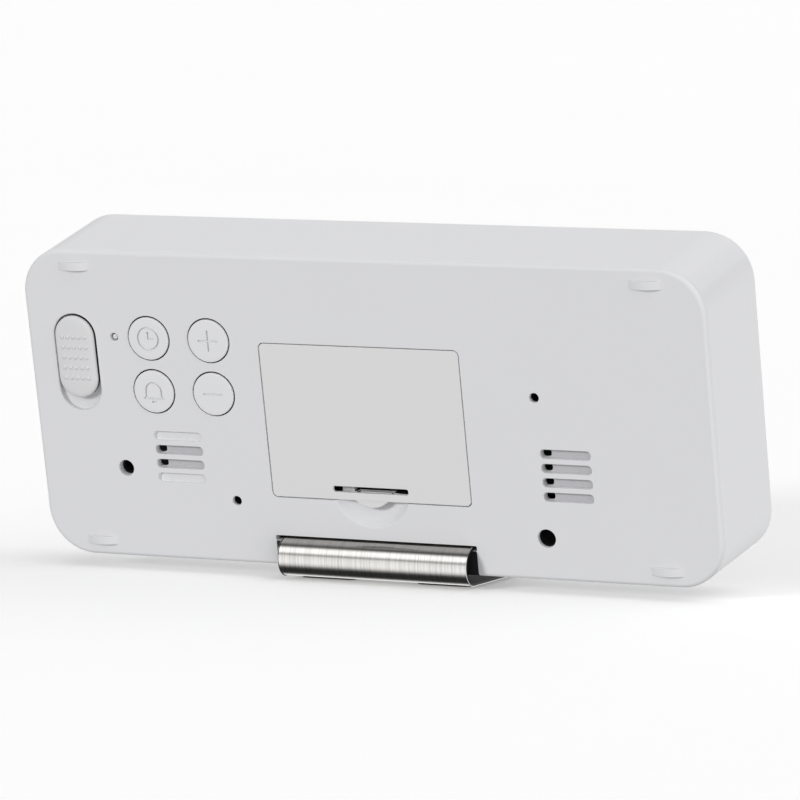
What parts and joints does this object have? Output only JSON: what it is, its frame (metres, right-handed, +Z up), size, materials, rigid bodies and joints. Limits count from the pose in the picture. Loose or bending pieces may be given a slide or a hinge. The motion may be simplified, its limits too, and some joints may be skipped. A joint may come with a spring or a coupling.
{
  "type": "desk alarm clock",
  "caption": "Slim desk alarm clock in a moulded case on a bent steel strip, with display, rear keys, alarm slider and hinged battery door.",
  "frame": {"origin": "on the table under the middle of the clock", "axes": "+X to the right seen from the display, +Y to the rear where the controls are, +Z up"},
  "size_m": [0.1754, 0.046, 0.084],
  "materials": {
    "case_white": "fine satin texture, moulded white",
    "key_white": "smooth satin, moulded white",
    "stand_steel": "brushed across its length, bent cold",
    "contact_nickel": "nickel plated, smooth",
    "inlet_brass": "turned and plated",
    "screw_steel": "zinc plated, satin",
    "black_plastic": "moulded black, satin",
    "lens_smoked": "polished smoked acrylic",
    "display_glass": "dark polarised glass",
    "clear_acrylic": "clear, polished edges",
    "black_rubber": "matt, slightly soft",
    "circuit_green": "solder mask over glass fibre",
    "cone_paper": "pressed paper pulp",
    "cell_label": "printed shrink sleeve",
    "lead_red": "insulated wire"
  },
  "bodies": {
    "case": {"front_housing": "case_white", "back_cover": "case_white", "battery_cell_1": "cell_label", "battery_cell_2": "cell_label", "battery_cell_3": "cell_label", "contact_spring_1": "contact_nickel", "contact_spring_2": "contact_nickel", "contact_spring_3": "contact_nickel", "contact_plate_right_upper": "contact_nickel", "contact_plate_right_lower": "contact_nickel", "contact_plate_left_upper": "contact_nickel", "contact_plate_left_lower": "contact_nickel", "clock_switch": "black_plastic", "plus_switch": "black_plastic", "alarm_switch": "black_plastic", "minus_switch": "black_plastic", "reset_switch": "black_plastic", "slide_switch": "screw_steel", "key_board": "circuit_green", "inlet_socket": "black_plastic", "inlet_pin": "inlet_brass", "speaker_frame": "screw_steel", "speaker_cone": "cone_paper", "speaker_magnet": "contact_nickel", "temperature_sensor": "circuit_green", "display_lens": "lens_smoked", "display_carrier": "key_white", "lcd_glass": "display_glass", "light_guide": "clear_acrylic", "light_bar": "circuit_green", "zebra_upper": "black_rubber", "zebra_lower": "black_rubber", "main_board": "circuit_green", "processor": "black_plastic", "case_screw_lower_right": "screw_steel", "case_screw_upper_left": "screw_steel", "case_screw_lower_left": "screw_steel", "carrier_screw_left": "screw_steel", "carrier_screw_right": "screw_steel", "stand_screw_left": "screw_steel", "stand_screw_right": "screw_steel", "stand_strip": "stand_steel", "stand_pad_left": "black_rubber", "stand_pad_right": "black_rubber", "ribbon_cable": "key_white", "battery_lead": "lead_red", "speaker_lead": "lead_red"},
    "battery_door": {"battery_door": "case_white"},
    "clock_key": {"clock_key": "key_white", "clock_plunger": "black_plastic"},
    "plus_key": {"plus_key": "key_white", "plus_plunger": "black_plastic"},
    "alarm_key": {"alarm_key": "key_white", "alarm_plunger": "black_plastic"},
    "minus_key": {"minus_key": "key_white", "minus_plunger": "black_plastic"},
    "reset_pin": {"reset_pin": "key_white"},
    "alarm_slider": {"alarm_slider": "key_white"}
  },
  "joints": [
    {"name": "battery_door_hinge", "type": "hinge", "parent": "case", "child": "battery_door", "pos_m": [0.0005, 0.01789, 0.05642], "axis": [1, 0, 0], "range_deg": [0, 75]},
    {"name": "clock_key_press", "type": "slide", "parent": "case", "child": "clock_key", "axis": [0, -0.977, 0.213], "range_m": [0, 0.0006], "stiffness_N_per_m": 400, "springref_m": -0.001},
    {"name": "plus_key_press", "type": "slide", "parent": "case", "child": "plus_key", "axis": [0, -0.977, 0.213], "range_m": [0, 0.0006], "stiffness_N_per_m": 400, "springref_m": -0.001},
    {"name": "alarm_key_press", "type": "slide", "parent": "case", "child": "alarm_key", "axis": [0, -0.977, 0.213], "range_m": [0, 0.0006], "stiffness_N_per_m": 400, "springref_m": -0.001},
    {"name": "minus_key_press", "type": "slide", "parent": "case", "child": "minus_key", "axis": [0, -0.977, 0.213], "range_m": [0, 0.0006], "stiffness_N_per_m": 400, "springref_m": -0.001},
    {"name": "reset_press", "type": "slide", "parent": "case", "child": "reset_pin", "axis": [0, -0.977, 0.213], "range_m": [0, 0.0005], "stiffness_N_per_m": 400, "springref_m": -0.001},
    {"name": "alarm_slide", "type": "slide", "parent": "case", "child": "alarm_slider", "axis": [0, -0.213, -0.977], "range_m": [0, 0.0029]}
  ]
}
